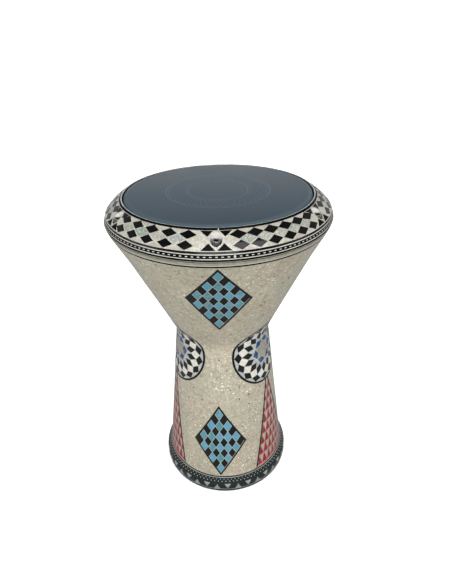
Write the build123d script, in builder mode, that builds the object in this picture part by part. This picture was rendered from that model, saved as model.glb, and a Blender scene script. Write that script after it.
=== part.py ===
from build123d import *
from math import cos, radians, sin
import os

# A goblet drum (darbuka). It stands on its foot with +Z up. The origin is the centre of the
# foot's plane, and one tuning screw faces the front, towards -Y. Lengths are in millimetres.
# Angles round the drum are in degrees, from the front towards +X.

# Body: corners of the finished outside line as (radius, height), from the foot up to the rim.
foot_radius = 95.0
foot_lip_height = 13.0
flare_radius, flare_height = 87.4, 25.5
waist_radius, waist_height = 62.7, 245.2
bowl_radius, bowl_height = 115.6, 363.0
shoulder_radius, shoulder_height = 131.9, 395.7
rim_radius, rim_height = 134.6, 403.0
outside_fillets = [9, 16, 35, 200, 20]

# Radial thickness of the inlay and of the cast wall behind it.
inlay = 2.0
wall = 4.0
foot_bead_height = 1.8
foot_bead_radius = 94.6

# Bearing edge that the head is stretched over, and the flange that the ring pulls against.
tube_outer_radius = 109.5
tube_inner_radius = 104.5
tube_height = 429.0
bearing_fillet = 3.0
bearing_inner_fillet = 1.5
flange_thickness = 7.0

# Head: a film that turns down over the bearing edge and is clamped in a hoop.
film_thickness = 0.4
film_lip_radius = 113.0
film_lip_height = 412.0
hoop_outer_radius = 115.3
hoop_bottom, hoop_top = 409.0, 415.8
hoop_clearance = 0.2

# Tuning ring: it presses the hoop down and stands clear of the flange.
ring_gap = 1.2
ring_bottom = rim_height + ring_gap
ring_foot_radius = 134.8
ring_edge_radius, ring_edge_height = 132.6, 412.2
ring_crown_radius, ring_crown_height = 123.4, 421.9
ring_band_radius, ring_band_height = 114.2, 427.4
ring_top = 428.7
ring_lip_outer_radius = 112.9
ring_bore_radius = 111.3
ring_inner_radius = 116.0
ring_ledge_height = 416.0
ring_inlay_side = 1.4
ring_inlay_top = 1.4

# Tuning screws: M6 x 20 socket head cap screws, upright in round pockets.
screw_count = 6
screw_circle_radius = 123.0
screw_radius = 3.0
screw_length = 20.0
screw_clearance = 0.05
head_radius = 5.0
head_height = 6.0
socket_across_flats = 5.0
socket_depth = 3.0
seat_height = 414.3
pocket_radius = 6.25
boss_radius = 7.0
boss_bottom = 390.5
tapped_hole_bottom = 392.0

# Inlay bands, as heights from the foot up.
foot_edge_top = 5.2
foot_triangle_top = 15.8
foot_dot_top = 23.9
foot_line_top = 25.5
rim_line_bottom, rim_line_top = 394.8, 396.8

# Inlaid panels. Three of each are laid by hand round the body, so their angles are not exact.
diamond_half_width = 37.0
upper_diamond_bottom, upper_diamond_middle, upper_diamond_top = 285.0, 342.5, 393.4
upper_diamond_angles = [0, 120, 240]
lower_diamond_bottom, lower_diamond_middle, lower_diamond_top = 26.6, 87.5, 153.0
lower_diamond_angles = [-4.9, 115, 235]
rosette_height = 223.0
rosette_half_width, rosette_half_height = 46.0, 49.3
rosette_angles = [56.5, 176.5, 296.5]
red_panel_half_width = 39.2
red_panel_apex = 187.0
red_panel_angles = [58, 175, 289.5]

os.makedirs("parts", exist_ok=True)


def save(part, name):
    part.label = name
    export_step(part, f"parts/{name}.step")


def outside_corners(inset):
    """Corners of the body's outside line, moved towards the axis by inset."""
    corners = [
        (foot_radius, 0),
        (foot_radius, foot_lip_height),
        (flare_radius, flare_height),
        (waist_radius, waist_height),
        (bowl_radius, bowl_height),
        (shoulder_radius, shoulder_height),
        (rim_radius, rim_height),
    ]
    return [(radius - inset, height) for radius, height in corners]


def outside_radii(inset):
    """Fillets of the line at inset: hollow corners open up and the others close."""
    foot, flare, waist, bowl, shoulder = outside_fillets
    return [foot - inset, flare + inset, waist + inset, bowl + inset, shoulder - inset]


def around(radius, angle, height):
    """Point at an angle round the drum, from the front towards +X."""
    return (radius * sin(radians(angle)), -radius * cos(radians(angle)), height)


def facing_plane(angle, height):
    """Upright plane through the axis, whose normal points outwards at the angle."""
    return Plane(
        origin=(0, 0, height),
        x_dir=(cos(radians(angle)), sin(radians(angle)), 0),
        z_dir=(sin(radians(angle)), -cos(radians(angle)), 0),
    )


# ---------------------------------------------------------------- cast body

# The room inside: open at the foot, a neck at the waist, and a bowl closed by the flange.
inner_inset = inlay + wall
flange_underside = rim_height - flange_thickness
with BuildPart() as room:
    with BuildSketch(Plane.XZ):
        with BuildLine():
            inside_line = FilletPolyline(
                (foot_radius - inner_inset, -1),
                *outside_corners(inner_inset)[1:5],
                (shoulder_radius - inner_inset - 2.0, flange_underside - 4.0),
                (shoulder_radius - inner_inset - 7.0, flange_underside),
                (tube_inner_radius, flange_underside),
                (tube_inner_radius, tube_height + 2),
                radius=outside_radii(inner_inset)[:4] + [4, 4, 2],
            )
            Polyline(inside_line @ 1, (0, tube_height + 2), (0, -1), inside_line @ 0)
        make_face()
    revolve(axis=Axis.Z)
    # Bosses hang from the flange into the room and hold the tapped holes.
    with BuildSketch(Plane.XY.offset(boss_bottom)):
        with PolarLocations(screw_circle_radius, screw_count, start_angle=-90):
            Circle(boss_radius)
    extrude(amount=flange_underside - boss_bottom, mode=Mode.SUBTRACT)

with BuildPart() as shell:
    with BuildSketch(Plane.XZ):
        with BuildLine():
            metal_line = FilletPolyline(*outside_corners(inlay), radius=outside_radii(inlay))
            rim_line = FilletPolyline(
                metal_line @ 1,
                (tube_outer_radius, rim_height),
                (tube_outer_radius, tube_height),
                (0, tube_height),
                radius=[1.5, bearing_fillet],
            )
            Polyline(rim_line @ 1, (0, 0), metal_line @ 0)
        make_face()
    revolve(axis=Axis.Z)
    # The bead at the very bottom guards the inlay's edge.
    with BuildSketch():
        Circle(foot_bead_radius)
    extrude(amount=foot_bead_height)
    add(room.part, mode=Mode.SUBTRACT)
    tube_rim = shell.edges().filter_by(GeomType.CIRCLE).group_by(Axis.Z)[-1]
    fillet(tube_rim.sort_by(SortBy.RADIUS)[0], radius=bearing_inner_fillet)
    foot_rims = shell.edges().filter_by(GeomType.CIRCLE).group_by(Axis.Z)[0]
    chamfer(foot_rims, length=0.5)
    # Tapped holes, as plain cylinders with a running clearance on the screws.
    with BuildSketch(Plane.XY.offset(tapped_hole_bottom)):
        with PolarLocations(screw_circle_radius, screw_count, start_angle=-90):
            Circle(screw_radius + screw_clearance)
    extrude(amount=rim_height - tapped_hole_bottom + 1, mode=Mode.SUBTRACT)
save(shell.part, "shell")


# ---------------------------------------------------------------- inlay on the body


def inlay_band(bottom, top):
    """The layer between the cast metal and the finished outside, from bottom to top."""
    with BuildPart() as band:
        with BuildSketch(Plane.XZ):
            with BuildLine():
                outer = FilletPolyline(*outside_corners(0), radius=outside_radii(0))
                inner = FilletPolyline(*outside_corners(inlay), radius=outside_radii(inlay))
                Line(outer @ 0, inner @ 0)
                Line(outer @ 1, inner @ 1)
            make_face()
            with Locations((rim_radius / 2, (bottom + top) / 2)):
                Rectangle(2 * rim_radius, top - bottom, mode=Mode.INTERSECT)
        revolve(axis=Axis.Z)
    return band.part


body_bands = {
    "foot_edge_line": (foot_bead_height, foot_edge_top),
    "foot_triangle_band": (foot_edge_top, foot_triangle_top),
    "foot_dot_strip": (foot_triangle_top, foot_dot_top),
    "foot_line": (foot_dot_top, foot_line_top),
    "rim_line": (rim_line_bottom, rim_line_top),
    "rim_strip": (rim_line_top, rim_height),
}
for name, (bottom, top) in body_bands.items():
    save(inlay_band(bottom, top), name)

ground_layer = inlay_band(foot_line_top, rim_line_bottom)
reach = rim_radius + 5


def diamond_panel(angle, bottom, middle, top):
    """Part of the ground layer inside a diamond, straight-sided as seen from its own side."""
    with BuildPart() as panel:
        with BuildSketch(facing_plane(angle, middle)):
            with BuildLine():
                Polyline(
                    (0, bottom - middle),
                    (diamond_half_width, 0),
                    (0, top - middle),
                    (-diamond_half_width, 0),
                    close=True,
                )
            make_face()
        extrude(amount=reach)
        add(ground_layer, mode=Mode.INTERSECT)
    return panel.part


def rosette_panel(angle):
    """Disc wrapped round the waist, which is an ellipse as seen from its own side."""
    with BuildPart() as panel:
        with BuildSketch(facing_plane(angle, rosette_height)):
            Ellipse(rosette_half_width, rosette_half_height)
        extrude(amount=reach)
        add(ground_layer, mode=Mode.INTERSECT)
    return panel.part


def red_panel(angle, rosettes):
    """Tall triangle that stands on the foot line and runs up under its rosette."""
    with BuildPart() as panel:
        with BuildSketch(facing_plane(angle, foot_line_top)):
            with BuildLine():
                Polyline(
                    (-red_panel_half_width, 0),
                    (red_panel_half_width, 0),
                    (0, red_panel_apex - foot_line_top),
                    close=True,
                )
            make_face()
        extrude(amount=reach)
        add(ground_layer, mode=Mode.INTERSECT)
        add(rosettes, mode=Mode.SUBTRACT)
    return panel.part


rosettes = [rosette_panel(angle) for angle in rosette_angles]
panels = {}
for number in range(3):
    panels[f"upper_diamond_{number + 1}"] = diamond_panel(
        upper_diamond_angles[number], upper_diamond_bottom, upper_diamond_middle, upper_diamond_top
    )
    panels[f"lower_diamond_{number + 1}"] = diamond_panel(
        lower_diamond_angles[number], lower_diamond_bottom, lower_diamond_middle, lower_diamond_top
    )
    panels[f"rosette_{number + 1}"] = rosettes[number]
    panels[f"red_panel_{number + 1}"] = red_panel(red_panel_angles[number], rosettes)
for name, panel in panels.items():
    save(panel, name)

with BuildPart() as pearl_ground:
    add(ground_layer)
    add(list(panels.values()), mode=Mode.SUBTRACT)
save(pearl_ground.part, "pearl_ground")


# ---------------------------------------------------------------- head

film_outer_radius = tube_outer_radius + film_thickness
film_top = tube_height + film_thickness
with BuildPart() as head_film:
    with BuildSketch(Plane.XZ):
        with BuildLine():
            upper_side = FilletPolyline(
                (0, film_top),
                (film_outer_radius, film_top),
                (film_outer_radius, film_lip_height + film_thickness),
                (film_lip_radius, film_lip_height + film_thickness),
                radius=[bearing_fillet + film_thickness, 0.3],
            )
            lower_side = FilletPolyline(
                (0, tube_height),
                (tube_outer_radius, tube_height),
                (tube_outer_radius, film_lip_height),
                radius=[bearing_fillet],
            )
            Polyline(lower_side @ 1, (film_lip_radius, film_lip_height), upper_side @ 1)
            Line(lower_side @ 0, upper_side @ 0)
        make_face()
    revolve(axis=Axis.Z)
save(head_film.part, "head_film")

hoop_inner_radius = film_outer_radius
with BuildPart() as head_hoop:
    with BuildSketch(Plane.XZ):
        with Locations(((hoop_inner_radius + hoop_outer_radius) / 2, (hoop_bottom + hoop_top) / 2)):
            Rectangle(hoop_outer_radius - hoop_inner_radius, hoop_top - hoop_bottom)
        fillet(vertices().group_by(Axis.X)[-1], radius=1.2)
        fillet(vertices().group_by(Axis.X)[0], radius=0.4)
    revolve(axis=Axis.Z)
    # The film's lip is crimped inside the hoop.
    add(head_film.part, mode=Mode.SUBTRACT)
save(head_hoop.part, "head_hoop")


# ---------------------------------------------------------------- tuning ring


def ring_line(side, top):
    """Outside line of the ring, moved in from its side and down from its top."""
    return FilletPolyline(
        (ring_foot_radius - side, ring_bottom),
        (ring_edge_radius - side, ring_edge_height - top),
        (ring_crown_radius - side / 2, ring_crown_height - top),
        (ring_band_radius, ring_band_height - top),
        (ring_lip_outer_radius, ring_top - top),
        radius=[4, 60, 2],
    )


def screw_pockets():
    """Round pockets over the screw seats, open at the ring's top."""
    with BuildPart() as pockets:
        with BuildSketch(Plane.XY.offset(seat_height)):
            with PolarLocations(screw_circle_radius, screw_count, start_angle=-90):
                Circle(pocket_radius)
        extrude(amount=ring_top - seat_height + 5)
    return pockets.part


with BuildPart() as tuning_ring:
    with BuildSketch(Plane.XZ):
        with BuildLine():
            metal = ring_line(ring_inlay_side, ring_inlay_top)
            lip = FilletPolyline(
                metal @ 1,
                (ring_lip_outer_radius, ring_top),
                (ring_bore_radius, ring_top),
                (ring_bore_radius, ring_ledge_height),
                (ring_inner_radius, ring_ledge_height),
                (ring_inner_radius, ring_bottom),
                radius=[0.3, 0.5, 0.4, 0.8],
            )
            Line(lip @ 1, metal @ 0)
        make_face()
    revolve(axis=Axis.Z)
    add(screw_pockets(), mode=Mode.SUBTRACT)
    with BuildSketch(Plane.XY.offset(ring_bottom - 1)):
        with PolarLocations(screw_circle_radius, screw_count, start_angle=-90):
            Circle(screw_radius + screw_clearance)
    extrude(amount=seat_height - ring_bottom + 2, mode=Mode.SUBTRACT)
save(tuning_ring.part, "tuning_ring")


def ring_inlay(bottom, top, inner, outer):
    """Part of the ring's inlay between two heights and two radii, cut by the pockets."""
    with BuildPart() as piece:
        with BuildSketch(Plane.XZ):
            with BuildLine():
                finished = ring_line(0, 0)
                backing = ring_line(ring_inlay_side, ring_inlay_top)
                Line(finished @ 0, backing @ 0)
                Line(finished @ 1, backing @ 1)
            make_face()
            with Locations(((inner + outer) / 2, (bottom + top) / 2)):
                Rectangle(outer - inner, top - bottom, mode=Mode.INTERSECT)
        revolve(axis=Axis.Z)
        add(screw_pockets(), mode=Mode.SUBTRACT)
    return piece.part


string_radius = 114.9
ring_line_heights = [ring_bottom, 405.9, 409.4, 410.3, 412.5]
far = ring_foot_radius + 1
save(ring_inlay(ring_line_heights[0], ring_line_heights[1], 100, far), "ring_lower_white_line")
save(ring_inlay(ring_line_heights[1], ring_line_heights[2], 100, far), "ring_chain_strip")
save(ring_inlay(ring_line_heights[2], ring_line_heights[3], 100, far), "ring_upper_white_line")
save(ring_inlay(ring_line_heights[3], ring_line_heights[4], 100, far), "ring_black_line")
save(ring_inlay(ring_line_heights[4], ring_top, string_radius, far), "ring_mosaic")
save(ring_inlay(ring_line_heights[4], ring_top, 100, string_radius), "ring_string_line")


# ---------------------------------------------------------------- tuning screws

for number in range(screw_count):
    angle = number * 360 / screw_count
    seat = Plane(origin=around(screw_circle_radius, angle, seat_height))
    with BuildPart() as screw:
        with BuildSketch(seat):
            Circle(head_radius)
        extrude(amount=head_height)
        head_edge = screw.edges().filter_by(GeomType.CIRCLE).group_by(Axis.Z)[-1]
        fillet(head_edge, radius=0.6)
        with BuildSketch(seat):
            Circle(screw_radius)
        extrude(amount=-screw_length)
        tip_edge = screw.edges().filter_by(GeomType.CIRCLE).group_by(Axis.Z)[0]
        chamfer(tip_edge, length=0.7)
        with BuildSketch(seat.offset(head_height)):
            RegularPolygon(radius=socket_across_flats / 2, side_count=6, major_radius=False)
        extrude(amount=-socket_depth, mode=Mode.SUBTRACT)
    save(screw.part, f"tuning_screw_{number + 1}")
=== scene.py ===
import math

import bpy
import numpy as np
from mathutils import Matrix, Vector


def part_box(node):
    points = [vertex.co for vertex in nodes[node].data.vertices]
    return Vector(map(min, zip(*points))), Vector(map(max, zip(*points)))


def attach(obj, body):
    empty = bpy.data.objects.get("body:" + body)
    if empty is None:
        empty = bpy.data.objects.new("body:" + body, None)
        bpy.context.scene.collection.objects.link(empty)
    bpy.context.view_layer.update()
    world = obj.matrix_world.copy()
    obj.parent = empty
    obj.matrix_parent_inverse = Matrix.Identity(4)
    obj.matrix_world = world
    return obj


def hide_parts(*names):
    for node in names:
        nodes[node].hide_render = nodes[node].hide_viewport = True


# The looks of a goblet drum (darbuka) with a mother-of-pearl ground and hand-laid inlay. The CAD
# keeps the body, head, hoop, ring and screws; the inlay is laid here, tile by tile, on the same
# outside lines. Lengths in this script are millimetres until a mesh is made; places on the drum are
# (angle in degrees from the front towards +X, length along the outside line from its lower end).

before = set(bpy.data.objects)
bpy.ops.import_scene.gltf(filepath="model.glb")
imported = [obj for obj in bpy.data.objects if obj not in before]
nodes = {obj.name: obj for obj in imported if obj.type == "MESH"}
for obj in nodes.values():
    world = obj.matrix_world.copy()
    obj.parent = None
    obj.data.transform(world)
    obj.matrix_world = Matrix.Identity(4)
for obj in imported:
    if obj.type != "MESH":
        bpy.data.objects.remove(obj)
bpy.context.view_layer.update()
bpy.context.scene.view_settings.view_transform = "Standard"
MM = 0.001
COAT = 0.45    # how much clear lacquer lies over the inlay
AROUND = 288   # steps in a full turn of a hoop
SUNK = 0.3     # how far the laid pieces reach under the skin, in millimetres


# ---------------------------------------------------------------- outside lines

def rounded_line(corners, radii):
    """Points half a millimetre apart on a line of (radius, height) corners rounded by the radii,
    and the length from its start to each of them."""
    corners = [np.array(c, float) for c in corners]
    points = [corners[0]]
    for a, b, c, radius in zip(corners, corners[1:], corners[2:], radii):
        u, v = (a - b) / np.linalg.norm(a - b), (c - b) / np.linalg.norm(c - b)
        half = math.acos(float(u @ v)) / 2
        centre = b + (u + v) / np.linalg.norm(u + v) * radius / math.sin(half)
        first = b + u * radius / math.tan(half) - centre
        last = b + v * radius / math.tan(half) - centre
        turn = math.pi - 2 * half
        for k in range(25):
            w = k / 24
            arm = math.sin((1 - w) * turn) * first + math.sin(w * turn) * last
            points.append(centre + arm / math.sin(turn))
    points.append(corners[-1])
    points = np.array(points)
    length = np.concatenate([[0], np.cumsum(np.linalg.norm(np.diff(points, axis=0), axis=1))])
    even = np.linspace(0, length[-1], int(length[-1] / 0.5) + 1)
    return np.stack([np.interp(even, length, points[:, k]) for k in (0, 1)], 1), even


class Skin:
    """An outside line turned round the drum's axis."""

    def __init__(self, corners, radii):
        self.line, self.length = rounded_line(corners, radii)
        slope = np.gradient(self.line, self.length, axis=0)
        slope /= np.linalg.norm(slope, axis=1)[:, None]
        self.normal = np.stack([slope[:, 1], -slope[:, 0]], 1)

    def along(self, height):
        return float(np.interp(height, self.line[:, 1], self.length))

    def radius(self, along):
        return np.interp(along, self.length, self.line[:, 0])

    def points(self, angle, along, proud):
        """Points in metres, proud of the skin by so many millimetres."""
        across = [
            np.interp(along, self.length, self.line[:, k] + proud * self.normal[:, k])
            for k in (0, 1)
        ]
        a = np.radians(angle)
        return np.stack([across[0] * np.sin(a), -across[0] * np.cos(a), across[1]], -1) * MM


# The outside lines of the body and of the ring: corners, then the radii that round them.
body_skin = Skin(
    [(95, 0), (95, 13), (87.4, 25.5), (62.7, 245.2), (115.6, 363), (131.9, 395.7), (134.6, 403)],
    [9, 16, 35, 200, 20],
)
ring_skin = Skin(
    [(134.8, 404.2), (132.6, 412.2), (123.4, 421.9), (114.2, 427.4), (112.9, 428.7)], [4, 60, 2]
)


# ---------------------------------------------------------------- mesh making

def piece(name, points, faces, material, body, slot, sharp=40):
    """Makes a mesh of points in metres that rides on a body. Its slot is not used."""
    mesh = bpy.data.meshes.new(name)
    mesh.from_pydata([tuple(p) for p in points], [], faces)
    mesh.shade_smooth()
    mesh.set_sharp_from_angle(angle=math.radians(sharp))
    mesh.materials.append(material)
    obj = bpy.data.objects.new(name, mesh)
    bpy.context.scene.collection.objects.link(obj)
    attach(obj, body)
    return obj


def band(skin, low, high, proud, deep, step):
    """A closed hoop of the skin between two lengths, as (points, faces)."""
    rows = max(2, int(math.ceil((high - low) / step)) + 1)
    level = np.linspace(low, high, rows)
    angle = np.arange(AROUND) * 360 / AROUND
    grid_a, grid_l = np.meshgrid(angle, level)
    top = skin.points(grid_a.ravel(), grid_l.ravel(), proud)
    under = skin.points(grid_a.ravel(), grid_l.ravel(), -deep)
    count = rows * AROUND
    faces = []
    for r in range(rows - 1):
        for k in range(AROUND):
            n = (k + 1) % AROUND
            a, b = r * AROUND + k, r * AROUND + n
            c, d = (r + 1) * AROUND + n, (r + 1) * AROUND + k
            faces.append((a, b, c, d))
            faces.append((count + d, count + c, count + b, count + a))
    for k in range(AROUND):
        n = (k + 1) % AROUND
        faces.append((n, k, count + k, count + n))
        last = (rows - 1) * AROUND
        faces.append((last + k, last + n, count + last + n, count + last + k))
    return np.vstack([top, under]), faces


def hoop_faces(count, start=0):
    """Faces of a closed hoop made of so many steps of four points: outside top, inside top, inside
    bottom, outside bottom."""
    faces = []
    for k in range(count):
        n = (k + 1) % count
        for j in range(4):
            m = (j + 1) % 4
            corners = (4 * k + j, 4 * n + j, 4 * n + m, 4 * k + m)
            faces.append(tuple(start + c for c in corners))
    return faces


def area(polygon):
    """A polygon's area, which is negative when its corners run clockwise."""
    x, y = np.array(polygon, float).T
    return (x * np.roll(y, -1) - y * np.roll(x, -1)).sum() / 2


_fans = {}   # the ones made so far, by corners and cuts


def fan(corners, cuts):
    """Weights and triangles that fill a convex polygon, cut so many times from middle to edge."""
    if (corners, cuts) not in _fans:
        def index(ring, edge, step):
            return 1 + corners * ring * (ring - 1) // 2 + (edge * ring + step) % (corners * ring)

        weights = [np.full(corners, 1 / corners)]
        triangles = []
        for ring in range(1, cuts + 1):
            for edge in range(corners):
                for step in range(ring):
                    w = np.full(corners, (1 - ring / cuts) / corners)
                    w[edge] += ring / cuts * (1 - step / ring)
                    w[(edge + 1) % corners] += ring / cuts * step / ring
                    weights.append(w)
                    inner = 0 if ring == 1 else index(ring - 1, edge, step)
                    out, after = index(ring, edge, step), index(ring, edge, step + 1)
                    triangles.append((out, after, inner))
                    if step < ring - 1:
                        triangles.append((inner, after, index(ring - 1, edge, step + 1)))
        rim = [index(cuts, edge, step) for edge in range(corners) for step in range(cuts)]
        _fans[(corners, cuts)] = (np.array(weights), triangles, rim)
    return _fans[(corners, cuts)]


def tiles(skin, place, polygons, proud, cut=2.5):
    """Closed slabs on the skin, one for each convex polygon, as (points, faces). place turns a
    polygon's own coordinates into (angle, along)."""
    points, faces, start = [], [], 0
    for polygon in polygons:
        flat = np.array(polygon, float)
        if area(flat) < 0:
            flat = flat[::-1]
        angle, along = place(flat[:, 0], flat[:, 1])
        spot = skin.points(angle, along, 0) / MM
        reach = max(np.linalg.norm(spot - spot.mean(0), axis=1).max(), 0.1)
        cuts = max(1, int(math.ceil(reach / cut)))
        weights, triangles, rim = fan(len(flat), cuts)
        inside = weights @ flat
        angle, along = place(inside[:, 0], inside[:, 1])
        count = len(inside)
        points += [skin.points(angle, along, proud), skin.points(angle, along, -SUNK)]
        faces += [(start + a, start + b, start + c) for a, b, c in triangles]
        faces += [(start + count + c, start + count + b, start + count + a) for a, b, c in triangles]
        for a, b in zip(rim, rim[1:] + rim[:1]):
            faces.append((start + b, start + a, start + count + a, start + count + b))
        start += 2 * count
    return np.vstack(points), faces


def inset(polygon, distance):
    """A convex polygon drawn in by a distance on every side."""
    p = np.array(polygon, float)
    if area(p) < 0:
        p = p[::-1]
    out = []
    for k in range(len(p)):
        a, b, c = p[k - 1], p[k], p[(k + 1) % len(p)]
        u, v = (b - a) / np.linalg.norm(b - a), (c - b) / np.linalg.norm(c - b)
        n1, n2 = np.array([-u[1], u[0]]), np.array([-v[1], v[0]])
        out.append(np.linalg.solve([n1, n2], [n1 @ b + distance, n2 @ b + distance]))
    return np.array(out)


def clip(polygon, keep):
    """The part of a convex polygon inside another one, whose corners run anticlockwise. Parts under
    0.6 square millimetres are dropped."""
    out = [np.array(p, float) for p in polygon]
    keep = [np.array(p, float) for p in keep]
    for a, b in zip(keep, keep[1:] + keep[:1]):
        edge = b - a
        side = [edge[0] * (p[1] - a[1]) - edge[1] * (p[0] - a[0]) for p in out]
        fresh = []
        for k in range(len(out)):
            p, q, s, t = out[k - 1], out[k], side[k - 1], side[k]
            if s * t < 0:
                fresh.append(p + (q - p) * s / (s - t))
            if t >= 0:
                fresh.append(q)
        out = fresh
        if len(out) < 3:
            return None
    return out if abs(area(out)) > 0.6 else None


# ---------------------------------------------------------------- materials

class Shader:
    """A material made of nodes, with short names for the ones used here."""

    def __init__(self, name):
        self.material = bpy.data.materials.new(name)
        self.material.use_nodes = True
        self.tree = self.material.node_tree
        self.tree.nodes.clear()
        self.bsdf = self.tree.nodes.new("ShaderNodeBsdfPrincipled")
        output = self.tree.nodes.new("ShaderNodeOutputMaterial")
        self.tree.links.new(self.bsdf.outputs[0], output.inputs["Surface"])
        self.where = self.tree.nodes.new("ShaderNodeTexCoord").outputs["Object"]

    def node(self, kind, **values):
        made = self.tree.nodes.new(kind)
        for key, value in values.items():
            setattr(made, key, value)
        return made

    def feed(self, socket, value):
        if isinstance(value, bpy.types.NodeSocket):
            self.tree.links.new(value, socket)
        else:
            socket.default_value = value

    def place(self, scale):
        made = self.node("ShaderNodeMapping")
        self.feed(made.inputs["Vector"], self.where)
        made.inputs["Scale"].default_value = scale
        return made.outputs[0]

    def noise(self, scale, detail=3.0, rough=0.5, twist=0.0, vector=None):
        made = self.node("ShaderNodeTexNoise")
        self.feed(made.inputs["Vector"], vector or self.where)
        made.inputs["Scale"].default_value = scale
        made.inputs["Detail"].default_value = detail
        made.inputs["Roughness"].default_value = rough
        made.inputs["Distortion"].default_value = twist
        return made.outputs["Fac"]

    def cells(self, scale, vector=None, feature="F1", output="Color"):
        made = self.node("ShaderNodeTexVoronoi", feature=feature)
        self.feed(made.inputs["Vector"], vector or self.where)
        made.inputs["Scale"].default_value = scale
        return made.outputs[output]

    def reach(self):
        """The distance from the drum's axis, in metres."""
        made = self.node("ShaderNodeVectorMath", operation="LENGTH")
        self.feed(made.inputs[0], self.place((1, 1, 0)))
        return made.outputs["Value"]

    def part(self, colour, which="Red"):
        made = self.node("ShaderNodeSeparateColor")
        self.feed(made.inputs[0], colour)
        return made.outputs[which]

    def ramp(self, factor, stops):
        made = self.node("ShaderNodeValToRGB")
        for k, (place, colour) in enumerate(stops):
            stop = made.color_ramp.elements[k] if k < 2 else made.color_ramp.elements.new(place)
            stop.position = place
            stop.color = rgb(colour)
        self.feed(made.inputs[0], factor)
        return made.outputs[0]

    def mix(self, factor, a, b, blend="MIX"):
        made = self.node("ShaderNodeMix", data_type="RGBA", blend_type=blend)
        self.feed(made.inputs[0], factor)
        self.feed(made.inputs[6], a)
        self.feed(made.inputs[7], b)
        return made.outputs[2]

    def dim(self, colour, factor):
        """The colour times a factor from 0 to 1."""
        grey = self.mix(factor, rgb((0, 0, 0)), rgb((255, 255, 255)))
        return self.mix(1.0, colour, grey, "MULTIPLY")

    def sum(self, a, b, operation="ADD"):
        made = self.node("ShaderNodeMath", operation=operation)
        self.feed(made.inputs[0], a)
        self.feed(made.inputs[1], b)
        return made.outputs[0]

    def spread(self, value, low, high, new_low=0.0, new_high=1.0):
        made = self.node("ShaderNodeMapRange")
        self.feed(made.inputs[0], value)
        for k, v in enumerate((low, high, new_low, new_high)):
            made.inputs[k + 1].default_value = v
        return made.outputs[0]

    def island(self):
        return self.node("ShaderNodeNewGeometry").outputs["Random Per Island"]

    def bump(self, height, depth_mm, strength):
        made = self.node("ShaderNodeBump")
        made.inputs["Strength"].default_value = strength
        made.inputs["Distance"].default_value = depth_mm * MM
        self.feed(made.inputs["Height"], height)
        self.feed(self.bsdf.inputs["Normal"], made.outputs[0])

    def finish(
        self, colour, roughness, metallic=0.0, coat=0.0, coat_roughness=0.08, ior=1.45, shine=0.5
    ):
        self.feed(self.bsdf.inputs["Base Color"], colour)
        self.feed(self.bsdf.inputs["Roughness"], roughness)
        self.bsdf.inputs["Specular IOR Level"].default_value = shine
        self.bsdf.inputs["Metallic"].default_value = metallic
        self.bsdf.inputs["Coat Weight"].default_value = coat
        self.bsdf.inputs["Coat Roughness"].default_value = coat_roughness
        self.bsdf.inputs["Coat IOR"].default_value = ior
        return self.material


def rgb(colour):
    """A colour given as it shows, 0 to 255, as the linear light that Blender takes."""
    out = [((c / 255 + 0.055) / 1.055) ** 2.4 if c > 10 else c / 255 / 12.92 for c in colour]
    return (*out, 1.0)


def pearl_ground():
    """Crushed mother-of-pearl set in clear resin, with painted glints and a painted shade that darkens
    it a little towards the foot.
    """
    s = Shader("pearl_ground")
    drift = s.node("ShaderNodeTexNoise")
    s.feed(drift.inputs["Vector"], s.where)
    drift.inputs["Scale"].default_value = 260
    warp = s.node("ShaderNodeMix", data_type="VECTOR")
    warp.inputs[0].default_value = 0.004
    s.feed(warp.inputs[4], s.where)
    s.feed(warp.inputs[5], drift.outputs["Color"])
    bent = warp.outputs[1]
    flakes = s.cells(300, bent)
    chips = s.cells(620, bent)
    tone = s.ramp(s.part(flakes), [
        (0.0, (150, 145, 128)), (0.25, (176, 170, 152)), (0.55, (190, 183, 164)),
        (0.8, (200, 192, 172)), (1.0, (186, 188, 170)),
    ])
    tint = s.ramp(s.part(chips, "Green"), [
        (0.0, (168, 178, 152)), (0.3, (186, 180, 160)), (0.7, (192, 182, 165)), (1.0, (200, 172, 158)),
    ])
    colour = s.mix(0.45, tone, tint)
    drifts = s.noise(14, 3.0, 0.55)
    # Painted shade: the colour is dimmed to nine tenths at the foot, rising to full from 0.24 m up.
    height = s.node("ShaderNodeSeparateXYZ")
    s.feed(height.inputs[0], s.where)
    lower = s.spread(height.outputs["Z"], 0.03, 0.24, 0.9, 1.0)
    colour = s.dim(colour, lower)
    cast = s.ramp(drifts, [(0.35, (244, 249, 246)), (0.5, (250, 249, 247)), (0.65, (253, 247, 245))])
    colour = s.mix(1.0, colour, cast, "MULTIPLY")
    cloud = s.spread(s.noise(26, 4.0, 0.6), 0.3, 0.7, 0.9, 1.04)
    shade = s.dim(colour, cloud)
    streaks = s.spread(s.noise(90, 4.0, 0.7, 1.4), 0.56, 0.72)
    shade = s.mix(s.sum(streaks, 0.3, "MULTIPLY"), shade, rgb((140, 133, 116)))
    # Painted glints: a share of the chips, gathered in loose clusters, is painted near white.
    flock = s.spread(s.noise(18, 2.0), 0.42, 0.62, 0.3, 1.0)
    painted_glint = s.sum(s.spread(s.part(chips, "Blue"), 0.9, 0.96), flock, "MULTIPLY")
    shade = s.mix(s.sum(painted_glint, 0.85, "MULTIPLY"), shade, rgb((242, 238, 222)))
    speck = s.spread(s.part(s.cells(520, bent)), 0.007, 0.003)
    shade = s.mix(s.sum(speck, 0.85, "MULTIPLY"), shade, rgb((52, 48, 40)))
    seam = s.spread(s.cells(300, bent, "DISTANCE_TO_EDGE", "Distance"), 0.0, 0.05, 0.25, 0.0)
    shade = s.mix(seam, shade, rgb((140, 134, 116)))
    s.bump(s.noise(500, 2.0), 0.03, 0.5)
    rough = s.spread(s.part(chips, "Red"), 0.0, 1.0, 0.3, 0.5)
    return s.finish(shade, rough, coat=COAT, coat_roughness=0.12, shine=0.1)


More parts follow.
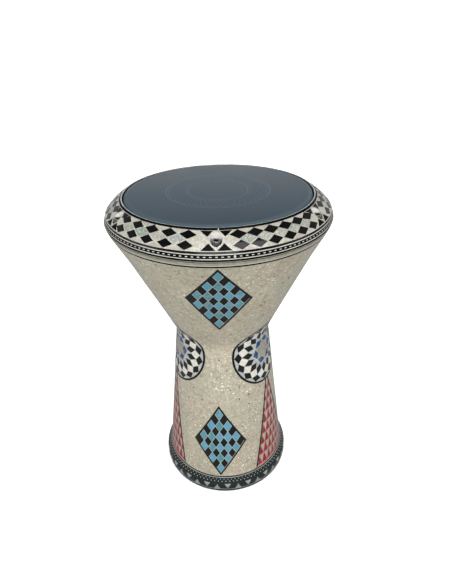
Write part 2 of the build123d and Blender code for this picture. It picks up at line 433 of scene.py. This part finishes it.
def nacre(name, tones, streak=0.35, glint_and_fleck=0.0):
    """Pieces of shell: each one has its own tone, with wavy growth lines and, when asked for, painted
    glints of near-white flecks with dark flecks among them.
    """
    s = Shader(name)
    own = s.island()
    base = s.ramp(own, tones)
    wave = s.node("ShaderNodeTexWave", bands_direction="DIAGONAL")
    s.feed(wave.inputs["Vector"], s.where)
    wave.inputs["Scale"].default_value = 55
    wave.inputs["Distortion"].default_value = 9
    wave.inputs["Detail"].default_value = 3
    wave.inputs["Detail Scale"].default_value = 2.2
    lines = s.ramp(wave.outputs["Fac"], [
        (0.0, (205, 212, 204)), (0.5, (232, 228, 218)), (1.0, (250, 244, 238)),
    ])
    colour = s.mix(streak, base, lines, "MULTIPLY")
    flecks = s.spread(s.noise(320, 4.0, 0.6), 0.35, 0.7, 0.86, 1.06)
    colour = s.dim(colour, flecks)
    if glint_and_fleck:
        chips = s.part(s.cells(1100), "Green")
        # The first pair paints glints as near-white flecks of painted light; the second lays dark
        # flecks of the shell's own tone.
        for low, high, tone in ((0.72, 0.9, (236, 238, 232)), (0.25, 0.1, (112, 114, 104))):
            share = s.sum(s.spread(chips, low, high), glint_and_fleck, "MULTIPLY")
            colour = s.mix(share, colour, rgb(tone))
    s.bump(wave.outputs["Fac"], 0.02, 0.4)
    rough = s.spread(s.noise(140), 0.3, 0.7, 0.22, 0.4)
    return s.finish(colour, rough, coat=COAT, coat_roughness=0.1, shine=0.1)


def stained(name, tones, grain=420):
    """Stained shell or horn: piece-to-piece tones, fine mottling and a lacquer over it."""
    s = Shader(name)
    base = s.ramp(s.island(), tones)
    mottle = s.spread(s.noise(grain, 4.0, 0.65, 0.6), 0.3, 0.72, 0.8, 1.12)
    colour = s.dim(base, mottle)
    pale = s.spread(s.noise(160, 3.0, 0.5, 1.0), 0.55, 0.75)
    colour = s.mix(s.sum(pale, 0.18, "MULTIPLY"), colour, rgb((215, 215, 210)))
    s.bump(s.noise(600, 2.0), 0.02, 0.4)
    rough = s.spread(s.noise(200), 0.3, 0.7, 0.25, 0.42)
    return s.finish(colour, rough, coat=COAT, coat_roughness=0.1, shine=0.1)


def black_inlay(name, tones, coat=COAT, ior=1.45, shine=0.1):
    """Polished black tiles and bands, with a faint grain."""
    s = Shader(name)
    base = s.ramp(s.island(), tones)
    grain = s.spread(s.noise(520, 4.0, 0.6), 0.62, 0.8)
    colour = s.mix(s.sum(grain, 0.5, "MULTIPLY"), base, rgb((46, 48, 46)))
    s.bump(s.noise(480, 2.0), 0.015, 0.4)
    rough = s.spread(s.noise(160), 0.3, 0.7, 0.3, 0.5)
    return s.finish(colour, rough, coat=coat, coat_roughness=0.1, ior=ior, shine=shine)


def stringing(name, tone, worn, coat=COAT):
    """Thin laid-in lines, a little stained along their length."""
    s = Shader(name)
    stain = s.spread(s.noise(60, 5.0, 0.65), 0.35, 0.75)
    colour = s.mix(s.sum(stain, 0.6, "MULTIPLY"), rgb(tone), rgb(worn))
    fine = s.spread(s.noise(700, 2.0), 0.3, 0.7, 0.88, 1.05)
    colour = s.dim(colour, fine)
    s.bump(s.noise(700, 2.0), 0.015, 0.4)
    rough = s.spread(s.noise(200), 0.3, 0.7, 0.3, 0.45)
    return s.finish(colour, rough, coat=coat, coat_roughness=0.12, shine=0.1)


def metal(name, tone, dark, roughness, brushed=(1, 1, 1), grain=300, bump=0.01, metallic=1.0):
    """Bare metal with a lay of fine scratches."""
    s = Shader(name)
    lay = s.noise(grain, 4.0, 0.6, vector=s.place(brushed))
    colour = s.mix(s.spread(lay, 0.35, 0.7), rgb(tone), rgb(dark))
    s.bump(lay, bump, 0.5)
    return s.finish(colour, s.spread(lay, 0.3, 0.75, roughness * 0.8, roughness * 1.25), metallic)


def cast_metal():
    """Raw sand-cast aluminium inside the body."""
    s = Shader("cast_body")
    blotch = s.noise(40, 5.0, 0.6)
    colour = s.mix(s.spread(blotch, 0.35, 0.7), rgb((178, 178, 174)), rgb((132, 132, 128)))
    pits = s.noise(520, 4.0, 0.7)
    s.bump(pits, 0.15, 0.7)
    return s.finish(colour, s.spread(blotch, 0.3, 0.7, 0.5, 0.68), metallic=0.85)


def film_skin():
    """The head: a satin synthetic skin, blue grey, faintly clouded, with painted light that makes it
    paler at its edge.
    """
    s = Shader("head_film")
    cloud = s.noise(14, 4.0, 0.55)
    colour = s.mix(s.spread(cloud, 0.35, 0.65), rgb((36, 57, 71)), rgb((43, 64, 79)))
    grain = s.noise(900, 3.0, 0.6)
    colour = s.mix(s.sum(s.spread(grain, 0.6, 0.8), 0.25, "MULTIPLY"), colour, rgb((66, 90, 103)))
    # Painted light: the film is paled from 104.5 to 108 mm off the axis, at its edge.
    edge = s.spread(s.reach(), 0.1045, 0.108)
    colour = s.mix(edge, colour, rgb((76, 93, 101)))
    s.bump(grain, 0.02, 0.5)
    return s.finish(colour, s.spread(cloud, 0.3, 0.7, 0.31, 0.37), shine=0.06)


pearl_mat = pearl_ground()
grey_shell_mat = nacre("shell_grey_green", [
    (0.0, (144, 156, 146)), (0.3, (158, 164, 155)), (0.5, (184, 183, 174)), (0.75, (176, 176, 170)),
    (1.0, (156, 164, 165)),
], 0.6, 0.4)
rose_shell_mat = nacre("shell_rose", [
    (0.0, (176, 168, 158)), (0.4, (192, 184, 174)), (0.75, (184, 180, 168)), (1.0, (196, 192, 182)),
], 0.35, 0.2)
ring_shell_mat = nacre("shell_cream", [(0.0, (190, 188, 178)), (1.0, (198, 195, 184))], 0.5, 0.3)
silver_shell_mat = nacre("shell_silver", [
    (0.0, (174, 177, 177)), (0.5, (184, 186, 184)), (1.0, (192, 191, 187)),
])
bright_shell_mat = nacre("shell_bright", [
    (0.0, (220, 218, 209)), (0.4, (228, 225, 217)), (0.75, (219, 212, 205)), (1.0, (230, 228, 222)),
])
marble_mat = nacre("shell_marble", [
    (0.0, (158, 152, 142)), (0.5, (166, 160, 150)), (1.0, (172, 164, 152)),
], 0.6)
rim_mat = nacre("rim_shell", [(0.0, (156, 155, 140)), (1.0, (166, 164, 150))], 0.6)
black_mat = black_inlay("black_inlay", [
    (0.0, (3, 4, 5)), (0.6, (7, 8, 9)), (1.0, (14, 13, 13)),
], 0.9, 1.3, 0.02)
tile_black_mat = black_inlay("tile_black", [
    (0.0, (10, 17, 17)), (0.6, (16, 22, 22)), (1.0, (26, 26, 22)),
])
line_black_mat = black_inlay("line_black", [(0.0, (2, 3, 3)), (1.0, (6, 7, 7))], 0.04, shine=0.03)
foot_black_mat = black_inlay("foot_black", [(0.0, (25, 32, 33)), (1.0, (30, 38, 38))])
blue_mat = stained("blue_inlay", [
    (0.0, (84, 149, 174)), (0.3, (92, 155, 180)), (0.5, (98, 150, 172)), (0.62, (76, 141, 150)),
    (0.8, (82, 138, 146)), (1.0, (99, 154, 174)),
])
deep_blue_mat = stained("deep_blue_inlay", [
    (0.0, (18, 66, 112)), (0.4, (24, 80, 120)), (0.6, (34, 56, 106)), (0.85, (42, 96, 116)),
    (1.0, (30, 72, 108)),
])
red_mat = stained("red_inlay", [
    (0.0, (132, 30, 44)), (0.4, (142, 38, 52)), (0.7, (120, 36, 44)), (1.0, (148, 48, 60)),
])
blush_mat = stained("blush_grout", [(0.0, (172, 118, 112)), (1.0, (182, 128, 120))], 300)
pale_mat = nacre("panel_pale", [
    (0.0, (170, 164, 148)), (0.35, (184, 170, 156)), (0.6, (172, 170, 156)), (1.0, (196, 178, 164)),
])
grout_mat = stringing("grout_line", (170, 178, 172), (190, 176, 168))
white_line_mat = stringing("white_line", (196, 195, 186), (160, 158, 148))
dot_mat = stringing("dot_shell", (160, 163, 156), (128, 132, 127))
foot_shell_mat = nacre("foot_shell", [
    (0.0, (138, 147, 144)), (0.5, (148, 155, 150)), (1.0, (156, 158, 149)),
])
film_mat = film_skin()
ring_mat = metal("ring_metal", (188, 190, 190), (154, 156, 157), 0.34, (1, 1, 6), 180)
hoop_mat = metal("hoop_metal", (196, 196, 192), (150, 150, 146), 0.4)
# The screw heads' strong light and dark streaks are partly a lay of fine scratches and partly painted
# reflections.
screw_mat = metal("screw_steel", (150, 146, 144), (46, 45, 46), 0.22, (1, 1, 0.25), 900, bump=0.12)
# Pocket walls: bare turned metal, made near white and only partly metallic, so their brightness is
# partly a painted reflection.
turned_mat = metal("turned_wall", (232, 231, 227), (206, 204, 198), 0.45, (1, 1, 5), 260, metallic=0.25)
cast_mat = cast_metal()
motif_mat = stringing("head_print", (74, 95, 108), (62, 81, 94), 0.03)

NODE_LOOKS = {
    "shell": cast_mat, "foot_edge_line": foot_black_mat, "foot_triangle_band": foot_black_mat,
    "foot_dot_strip": foot_black_mat, "foot_line": foot_black_mat,
    "rim_line": line_black_mat, "rim_strip": rim_mat,
    "head_film": film_mat, "head_hoop": hoop_mat, "tuning_ring": ring_mat,
    "ring_string_line": line_black_mat, "ring_mosaic": ring_shell_mat, "ring_black_line": black_mat,
    "ring_upper_white_line": white_line_mat, "ring_chain_strip": line_black_mat,
    "ring_lower_white_line": white_line_mat,
    **{f"tuning_screw_{k}": screw_mat for k in range(1, 7)},
}
for node, look in NODE_LOOKS.items():
    nodes[node].data.materials.clear()
    nodes[node].data.materials.append(look)


# ---------------------------------------------------------------- ground of the body

ground_low = body_skin.along(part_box("pearl_ground")[0].z / MM)
ground_high = body_skin.along(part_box("pearl_ground")[1].z / MM)
ground = piece(
    "pearl_ground_skin", *band(body_skin, ground_low, ground_high, 0, 0.5, step=2.5),
    pearl_mat, "drum_body", "pearl_ground",
)
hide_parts("pearl_ground")


# ---------------------------------------------------------------- diamonds

# How proud the grout plates and the tiles lie, then the width of a frame's line, half the width of
# a joint and the number of tiles along a side.
PLATE, TILE = 0.06, 0.13
FRAME_LINE, GROUT, CHECKS = 2.5, 0.42, 6


def upright(skin, centre, lean=0.0, pivot=0.0):
    """Places a polygon drawn on an upright plane, as (sideways, height), on the skin. lean turns it
    by a few degrees about its pivot's height."""
    c, s = math.cos(math.radians(lean)), math.sin(math.radians(lean))

    def place(x, z):
        x, z = c * x - s * (z - pivot), pivot + s * x + c * (z - pivot)
        along = np.interp(z, skin.line[:, 1], skin.length)
        return centre + np.degrees(np.arcsin(np.clip(x / skin.radius(along), -0.999, 0.999))), along
    return place


def strip(outer, inner):
    """The line between two polygons with the same corners, in quads."""
    quads = []
    for k in range(len(outer)):
        n = (k + 1) % len(outer)
        quads.append([outer[k], outer[n], inner[n], inner[k]])
    return quads


def long_pieces(quads, parts):
    """Cuts quads across their length, so that they bend with the skin."""
    out = []
    for a, b, c, d in quads:
        a, b, c, d = (np.array(p, float) for p in (a, b, c, d))
        for k in range(parts):
            s, t = k / parts, (k + 1) / parts
            out.append([a + (b - a) * s, a + (b - a) * t, d + (c - d) * t, d + (c - d) * s])
    return out


def diamond(node, centre, lean, half, bottom, middle, top):
    """A framed checker of blue and black tiles, from its half width and three heights."""
    outer = np.array([(0, bottom), (half, middle), (0, top), (-half, middle)], float)
    inner = inset(outer, FRAME_LINE)
    place = upright(body_skin, centre, lean, middle)
    low, right, high, left = inner

    def spot(a, b):
        return (1 - a) * (1 - b) * high + a * (1 - b) * right + (1 - a) * b * left + a * b * low

    blue, black = [], []
    gap = GROUT / (np.linalg.norm(right - high) / CHECKS)
    for i in range(CHECKS):
        for j in range(CHECKS):
            dark = (i + j) % 2 == 1
            a0 = i if dark and i == 0 else i + gap
            b0 = j if dark and j == 0 else j + gap
            a1 = i + 1 - (1.6 * gap if i == CHECKS - 1 else gap)
            b1 = j + 1 if dark and j == CHECKS - 1 else j + 1 - gap
            quad = [spot(a / CHECKS, b / CHECKS) for a, b in ((a0, b0), (a0, b1), (a1, b1), (a1, b0))]
            (black if dark else blue).append(quad)
    plate = piece(
        f"{node}_grout", *tiles(body_skin, place, [outer], PLATE), grout_mat, "drum_body", "blue_inlay"
    )
    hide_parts(node)
    line = long_pieces(strip(outer, inner), 12)
    for name, shapes, look, slot in (
        ("frame", line, tile_black_mat, "black_inlay"), ("blue", blue, blue_mat, "blue_inlay"),
        ("black", black, tile_black_mat, "black_inlay"),
    ):
        piece(f"{node}_{name}", *tiles(body_skin, place, shapes, TILE), look, "drum_body", slot)


# Each diamond's node, the angle it faces and its lean, in degrees.
UPPER = [("upper_diamond_1", -0.2, -1.2), ("upper_diamond_2", 120, 0.5), ("upper_diamond_3", 240, -0.4)]
LOWER = [("lower_diamond_1", -4.9, 0.4), ("lower_diamond_2", 115, -0.6), ("lower_diamond_3", 235, 0.4)]
for panel in UPPER:
    diamond(*panel, 36.9, 285.0, 342.5, 393.4)
for panel in LOWER:
    diamond(*panel, 37.1, 26.6, 87.5, 153.0)


# ---------------------------------------------------------------- rosettes

def rosette(node, centre, height, size):
    """Sixteen-fold net of rhombs round a six-pointed star, laid out in true lengths."""
    base = body_skin.along(height)

    def place(u, v):
        along = base + v
        return centre + np.degrees(u / body_skin.radius(along)), along

    def at(radius, turn):
        t = math.radians(turn)
        radius *= size * (1 - 0.06 * max(0.0, math.sin(t)) ** 2)
        return (radius * math.cos(t), radius * math.sin(t))

    ring = [[at(47.9, a), at(50.9, a), at(50.9, a + 5), at(47.9, a + 5)] for a in range(0, 360, 5)]
    sectors = [[at(0, 0), at(49.6, a), at(49.6, a + 10)] for a in range(0, 360, 10)]
    dark, light = [], []
    for k in range(16):
        t = 176 + 22.5 * k
        dark.append([at(20.8, t), at(28.6, t + 10.1), at(37.2, t), at(28.6, t - 10.1)])
        dark.append([at(37.4, t), at(43.0, t + 10.7), at(47.9, t), at(43.0, t - 10.7)])
        m = t + 11.25
        light.append([at(29.2, m), at(36.9, m + 10.6), at(43.2, m), at(36.9, m - 10.6)])
    blues, star = [], []
    for k in range(6):
        t = 60 * k + 7
        blues.append([at(11.0, t), at(16.8, t + 27.5), at(20.6, t), at(16.8, t - 27.5)])
        star.append([at(0, 0), at(10.3, t), at(15.9, t + 30), at(10.3, t + 60)])
    plate = piece(
        f"{node}_ground", *tiles(body_skin, place, sectors, 0.1, cut=3), silver_shell_mat,
        "drum_body", "mosaic_pearl",
    )
    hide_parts(node)
    for name, shapes, look, slot in (
        ("line", ring, tile_black_mat, "black_inlay"), ("black", dark, tile_black_mat, "black_inlay"),
        ("white", light, bright_shell_mat, "mosaic_pearl"),
        ("blue", blues, deep_blue_mat, "blue_inlay"), ("star", star, marble_mat, "mosaic_pearl"),
    ):
        piece(f"{node}_{name}", *tiles(body_skin, place, shapes, 0.18), look, "drum_body", slot)


rosette("rosette_1", 56.2, 222.0, 1.01)
rosette("rosette_2", 176.5, 223.0, 1.0)
rosette("rosette_3", 296.0, 223.0, 0.985)


# ---------------------------------------------------------------- red panels

# The heights and half width of a panel, then its rows: how many, the lowest, their pitch and the
# step from tile to tile.
RED_BASE, RED_APEX, RED_HALF = 25.5, 187.0, 39.2
RED_ROWS, RED_LOWEST, RED_ROW, RED_STEP = 8, 30.3, 17.9, 10.0


def red_panel(node, centre):
    """A tall triangle of red and pale triangles in rows, with a black line up its two sides."""
    outer = [(-RED_HALF, RED_BASE), (RED_HALF, RED_BASE), (0, RED_APEX)]
    inner = inset(outer, 2.3)
    field = [tuple(p) for p in inset(outer, 2.6)]
    place = upright(body_skin, centre)
    sides = strip(outer, inner)
    red, pale = [], []
    for row in range(RED_ROWS):
        z = RED_LOWEST + RED_ROW * row
        # The three upper rows begin half a step earlier.
        start = -32.8 + 4.6 * row - (RED_STEP / 2 if row >= 5 else 0.0)
        for k in range(-1, 8):
            x = start + RED_STEP * k
            up = clip([(x - 4.6, z - 1.6), (x + 4.6, z - 1.6), (x, z + 15.6)], field)
            down = clip([(x + 5, z + 1.4), (x + 8.8, z + 15.4), (x + 1.2, z + 15.4)], field)
            red += [up] if up is not None else []
            pale += [down] if down is not None else []
    plate = piece(
        f"{node}_grout", *tiles(body_skin, place, [outer], 0.04), blush_mat, "drum_body", "red_inlay"
    )
    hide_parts(node)
    piece(
        f"{node}_border", *tiles(body_skin, place, long_pieces([sides[1], sides[2]], 30), 0.08),
        black_mat, "drum_body", "black_inlay",
    )
    piece(f"{node}_red", *tiles(body_skin, place, red, 0.08), red_mat, "drum_body", "red_inlay")
    piece(f"{node}_pale", *tiles(body_skin, place, pale, 0.08), pale_mat, "drum_body", "mosaic_pearl")


for node, angle in [("red_panel_1", 58), ("red_panel_2", 175), ("red_panel_3", 289.5)]:
    red_panel(node, angle)


# ---------------------------------------------------------------- foot and rim bands

def on_skin(skin):
    """Places a polygon given as (angle, height) on the skin."""
    def place(angle, z):
        return angle, np.interp(z, skin.line[:, 1], skin.length)
    return place


def wide(skin, millimetres, height):
    """An angle that spans so many millimetres at a height."""
    return math.degrees(millimetres / float(skin.radius(skin.along(height))))


FOOT_TRIANGLES, FOOT_DOTS, CHAIN_DASHES = 19, 104, 144
foot_up, foot_down = [], []
for k in range(FOOT_TRIANGLES):
    a, b = 11.1 + 360 / FOOT_TRIANGLES * k, 1.6 + 360 / FOOT_TRIANGLES * k
    w, v = wide(body_skin, 5.2, 6), wide(body_skin, 4.7, 15)
    foot_up.append([(a - w, 5.6), (a + w, 5.6), (a, 14.5)])
    foot_down.append([(b - v, 15.1), (b, 7.4), (b + v, 15.1)])
piece(
    "foot_triangles", *tiles(body_skin, on_skin(body_skin), foot_up + foot_down, 0.12, cut=1.8),
    foot_shell_mat, "drum_body", "mosaic_pearl",
)
dots, eighths = [], np.radians(range(0, 360, 45))
for k in range(FOOT_DOTS):
    for a, z, size in ((360 / FOOT_DOTS * k, 18.4, 0.8), (360 / FOOT_DOTS * (k + 0.5), 21.0, 0.65)):
        w = wide(body_skin, size, z)
        dots.append([(a + w * math.cos(t), z + 0.85 * size * math.sin(t)) for t in eighths])
piece(
    "foot_dots", *tiles(body_skin, on_skin(body_skin), dots, 0.1), dot_mat, "drum_body", "mosaic_pearl"
)


def line_band(name, skin, low, high, look, body, slot):
    """A thin line all the way round, between two heights."""
    shape = band(skin, skin.along(low), skin.along(high), 0.08, SUNK, step=1.0)
    return piece(name, *shape, look, body, slot)


line_band("foot_pale_line", body_skin, 4.7, 5.6, dot_mat, "drum_body", "white_line")
line_band("foot_upper_pale_line", body_skin, 22.8, 23.7, dot_mat, "drum_body", "white_line")
line_band("rim_top_line", body_skin, 401.5, 402.1, line_black_mat, "drum_body", "black_inlay")
line_band("rim_bright_line", body_skin, 396.9, 398.0, white_line_mat, "drum_body", "white_line")


def flat_hoop(name, outer, inner, top, look, body, slot):
    """A flat hoop a tenth of a millimetre thick, from its radii and height in millimetres."""
    points, under = [], top - 0.1
    for k in range(AROUND):
        t = 2 * math.pi * k / AROUND
        for radius, z in ((outer, top), (inner, top), (inner, under), (outer, under)):
            points.append((radius * MM * math.cos(t), radius * MM * math.sin(t), z * MM))
    piece(name, points, hoop_faces(AROUND), look, body, slot, sharp=30)


# Painted shadow: a thin black hoop on the body's top edge, in the gap under the ring, where there is
# only shade.
flat_hoop("rim_gap_shadow", 134.4, 128.5, 403.08, line_black_mat, "drum_body", "black_inlay")


# ---------------------------------------------------------------- tuning ring mosaic

# Tiles in one sixth of the ring: how many, then the first angle and the step of each row.
RING_ROWS = [(6, 10.2, 8.14, 10.8, 7.9), (6, 10.2, 8.14, 10.8, 7.9), (5, 8.7, 9.55, 8.6, 9.47)]


def ring_spans():
    """The ring's tiles, in (angle, height), by colour. A screw pocket starts each sixth."""
    black, green, rose, dull = [], [], [], []
    for sixth in range(6):
        o = 60 * sixth
        count, first, pitch, lower_first, lower_pitch = RING_ROWS[sixth % 3]
        for k in range(count):
            a, b = o + first + pitch * k, o + lower_first + lower_pitch * k
            black.append([
                (a, 421.0), (a + 3.98, 423.9), (a + 3.98, 424.3),
                (a, 426.9), (a - 3.98, 424.3), (a - 3.98, 423.9),
            ])
            black.append([(b, 413.1), (b + 3.8, 416.5), (b, 420.2), (b - 3.8, 416.5)])
        for side in (1, -1):
            black.append([(o + side * x, z) for x, z in ((1.6, 426.7), (7.6, 426.7), (4.1, 423.0))])
            dull.append([(o + side * x, z) for x, z in ((0.3, 413.2), (6.7, 413.2), (3.4, 418.6))])
        for k in range(count - 1):
            a = o + first + pitch * (k + 0.5)
            w = pitch / 2 - 0.2
            green.append([(a, 416.8), (a + w, 420.6), (a, 423.9), (a - w, 420.6)])
            rose.append([(a, 424.6), (a + w - 0.3, 427.1), (a + 0.3 - w, 427.1)])
            rose.append([(a, 415.8), (a + 0.5 - w, 412.9), (a + w - 0.5, 412.9)])
    return black, green, rose, dull


black, green, rose, dull = ring_spans()
for name, shapes, look, slot in (
    ("black", black, black_mat, "black_inlay"), ("green", green, grey_shell_mat, "mosaic_pearl"),
    ("rose", rose, rose_shell_mat, "mosaic_pearl"),
    ("dull_black", dull, line_black_mat, "black_inlay"),
):
    shape = tiles(ring_skin, on_skin(ring_skin), shapes, 0.12, cut=2.0)
    piece(f"ring_mosaic_{name}", *shape, look, "tuning_ring", slot)
# A dash of the chain strip, as shares of its half width and half height.
DASH = (
    (-1, 0.35), (-1, -0.35), (-0.7, -1), (0.7, -1), (1, -0.35), (1, 0.35), (0.7, 1), (-0.7, 1),
)
dashes = []
for k in range(CHAIN_DASHES):
    a, z = 360 / CHAIN_DASHES * k, 407.65
    w = wide(ring_skin, 1.25, z)
    dashes.append([(a + w * x, z + 0.45 * y) for x, y in DASH])
piece(
    "ring_chain_dashes", *tiles(ring_skin, on_skin(ring_skin), dashes, 0.1), white_line_mat,
    "tuning_ring", "white_line",
)
# Pale slips where the ends of the top line and of the chain strip meet.
joints = [
    [(0.8, 427.2), (1.25, 427.2), (1.25, 428.4), (0.8, 428.4)],
    [(7.15, 406.3), (7.8, 406.3), (7.8, 409.0), (7.15, 409.0)],
]
piece(
    "ring_line_joints", *tiles(ring_skin, on_skin(ring_skin), joints, 0.12), white_line_mat,
    "tuning_ring", "white_line",
)
# Painted shadow: a black band along the ring's lower edge stands for the shadow in the gap under the
# ring.
line_band("ring_edge_shadow", ring_skin, 404.22, 405.1, line_black_mat, "tuning_ring", "black_inlay")


# The circle that the screws stand on, a pocket wall's outside and inside, and its lower end.
SCREW_CIRCLE, POCKET_RADIUS, WALL_RADIUS, POCKET_FLOOR = 123, 6.2, 6.0, 414.35


def pocket_liner(sixth):
    """The turned wall of a screw's pocket, cut off just under the ring's slope; its near-white, partly
    metallic look is partly a painted reflection.
    """
    slope = ring_skin.line[np.argsort(ring_skin.line[:, 0])]
    points, count = [], 48
    for k in range(count):
        t = 2 * math.pi * k / count
        for radius, top in (
            (POCKET_RADIUS, True), (WALL_RADIUS, True), (WALL_RADIUS, False), (POCKET_RADIUS, False)
        ):
            x, y = SCREW_CIRCLE + radius * math.cos(t), radius * math.sin(t)
            rim = np.interp(math.hypot(x, y), slope[:, 0], slope[:, 1]) - 0.1
            points.append((x * MM, y * MM, (rim if top else POCKET_FLOOR) * MM))
    turn = Matrix.Rotation(math.radians(60 * sixth - 90), 3, "Z")
    piece(
        f"screw_pocket_wall_{sixth + 1}", [turn @ Vector(p) for p in points], hoop_faces(count),
        turned_mat, "tuning_ring", "ring_metal", sharp=30,
    )


for sixth in range(6):
    pocket_liner(sixth)


# ---------------------------------------------------------------- print on the head

def head_lines():
    """A plain guilloche ring of crossing waves between two circles, as flat closed strips."""
    film_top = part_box("head_film")[1].z
    points, faces, count = [], [], 720

    def stroke(radius_at, width):
        faces.extend(hoop_faces(count, len(points)))
        for k in range(count):
            t = 2 * math.pi * k / count
            for side, lift in ((1, 0.04), (-1, 0.04), (-1, -0.1), (1, -0.1)):
                r = radius_at(t) + side * width / 2
                points.append((r * MM * math.sin(t), -r * MM * math.cos(t), film_top + lift * MM))

    stroke(lambda t: 61.0, 0.9)
    stroke(lambda t: 35.0, 0.8)
    for phase in range(4):
        stroke(lambda t: 48 + 10.5 * math.sin(12 * t + phase * math.pi / 2), 0.7)
    return np.array(points), faces


piece("head_guilloche", *head_lines(), motif_mat, "drum_body", "head_film")


# ---------------------------------------------------------------- floor, light and camera

def stage_floor():
    """A pale floor that glows a little, less near the drum and far less under the foot, where the
    dip is a painted contact shadow; it stays out of the drum's reflections."""
    mesh = bpy.data.meshes.new("floor")
    corners = [(-2.5, -2.5, 0), (2.5, -2.5, 0), (2.5, 2.5, 0), (-2.5, 2.5, 0)]
    mesh.from_pydata(corners, [], [(0, 1, 2, 3)])
    s = Shader("floor")
    tone = s.mix(s.spread(s.noise(1.5), 0.3, 0.7), rgb((246, 246, 245)), rgb((250, 250, 249)))
    reach = s.reach()
    s.bsdf.inputs["Emission Color"].default_value = (1, 1, 1, 1)
    # Painted contact shadow: the glow drops from 0.66 to 0.1 under the foot and within a few
    # millimetres round it.
    painted_contact_shadow = s.spread(reach, 0.0945, 0.098, 0.1, 0.66)
    far = s.spread(reach, 0.5, 1.8, 0.0, 0.34)
    s.feed(s.bsdf.inputs["Emission Strength"], s.sum(painted_contact_shadow, far))
    mesh.materials.append(s.finish(tone, 0.95, shine=0.1))
    obj = bpy.data.objects.new("floor", mesh)
    bpy.context.scene.collection.objects.link(obj)
    obj.visible_diffuse = obj.visible_glossy = False


def studio_world():
    """White to look at; as a light, palest at eye level, darker below and darkest overhead."""
    world = bpy.data.worlds.new("studio")
    world.use_nodes = True
    tree = world.node_tree
    seen = tree.nodes["Background"]
    seen.inputs["Color"].default_value = (1, 1, 1, 1)
    seen.inputs["Strength"].default_value = 1.02
    where = tree.nodes.new("ShaderNodeSeparateXYZ")
    tree.links.new(tree.nodes.new("ShaderNodeTexCoord").outputs["Generated"], where.inputs[0])
    level = tree.nodes.new("ShaderNodeMapRange")
    tree.links.new(where.outputs["Z"], level.inputs[0])
    level.inputs["From Min"].default_value = -1
    band = tree.nodes.new("ShaderNodeValToRGB")
    tree.links.new(level.outputs[0], band.inputs[0])
    levels = ((0.0, 0.24), (0.40, 0.56), (0.55, 0.56), (0.80, 0.30), (1.0, 0.08))
    for k, (place, grey) in enumerate(levels):
        stop = band.color_ramp.elements[k] if k < 2 else band.color_ramp.elements.new(place)
        stop.position = place
        stop.color = (grey * 0.97, grey * 0.99, grey, 1)
    light = tree.nodes.new("ShaderNodeBackground")
    tree.links.new(band.outputs[0], light.inputs["Color"])
    both = tree.nodes.new("ShaderNodeMixShader")
    tree.links.new(tree.nodes.new("ShaderNodeLightPath").outputs["Is Camera Ray"], both.inputs[0])
    tree.links.new(light.outputs[0], both.inputs[1])
    tree.links.new(seen.outputs[0], both.inputs[2])
    tree.links.new(both.outputs[0], tree.nodes["World Output"].inputs["Surface"])
    bpy.context.scene.world = world


def lamp(name, place, aim, width, depth, power):
    """A rectangular lamp, in metres and watts."""
    data = bpy.data.lights.new(name, "AREA")
    data.shape = "RECTANGLE"
    data.size, data.size_y = width, depth
    data.energy = power
    obj = bpy.data.objects.new(name, data)
    obj.location = place
    obj.rotation_mode = "QUATERNION"
    obj.rotation_quaternion = (Vector(aim) - Vector(place)).to_track_quat("-Z", "Y")
    bpy.context.scene.collection.objects.link(obj)


stage_floor()
studio_world()
lamp("key", (0.2, -1.0, 2.0), (0, 0, 0.3), 2.2, 0.5, 19)
lamp("front", (0.0, -1.5, 0.8), (0, 0, 0.3), 1.0, 0.8, 15)
lamp("left", (-1.8, -0.5, 0.9), (0, 0, 0.3), 1.2, 1.2, 8)
lamp("right", (1.8, -0.5, 0.9), (0, 0, 0.3), 1.2, 1.2, 7)
lamp("back", (0, 2.6, 1.05), (0, 0, 0.42), 2.0, 0.5, 6.5)


def camera():
    """The viewing angle: 31 degrees down, from 0.78 m off, 1.5 degrees round towards +X."""
    pitch, roll, yaw, turn = (math.radians(a) for a in (31.06, -1.51, 0.70, 1.5))
    ahead = Vector((math.sin(yaw) * math.cos(pitch), math.cos(yaw) * math.cos(pitch), -math.sin(pitch)))
    right = Vector((math.cos(yaw), -math.sin(yaw), 0))
    up = right.cross(ahead)
    side = right * math.cos(roll) + up * math.sin(roll)
    top = -right * math.sin(roll) + up * math.cos(roll)
    data = bpy.data.cameras.new("camera")
    focal, long_side, sensor = 443.9, 584, 36   # the first two in pixels, the last in millimetres
    data.lens = focal / long_side * sensor
    data.sensor_width = sensor
    data.clip_start = 0.01
    obj = bpy.data.objects.new("camera", data)
    pose = Matrix((side, top, -ahead)).transposed().to_4x4()
    pose.translation = Vector((0, -0.5082, 0.5949))
    obj.matrix_world = Matrix.Rotation(turn, 4, "Z") @ pose
    bpy.context.scene.collection.objects.link(obj)
    bpy.context.scene.camera = obj


camera()
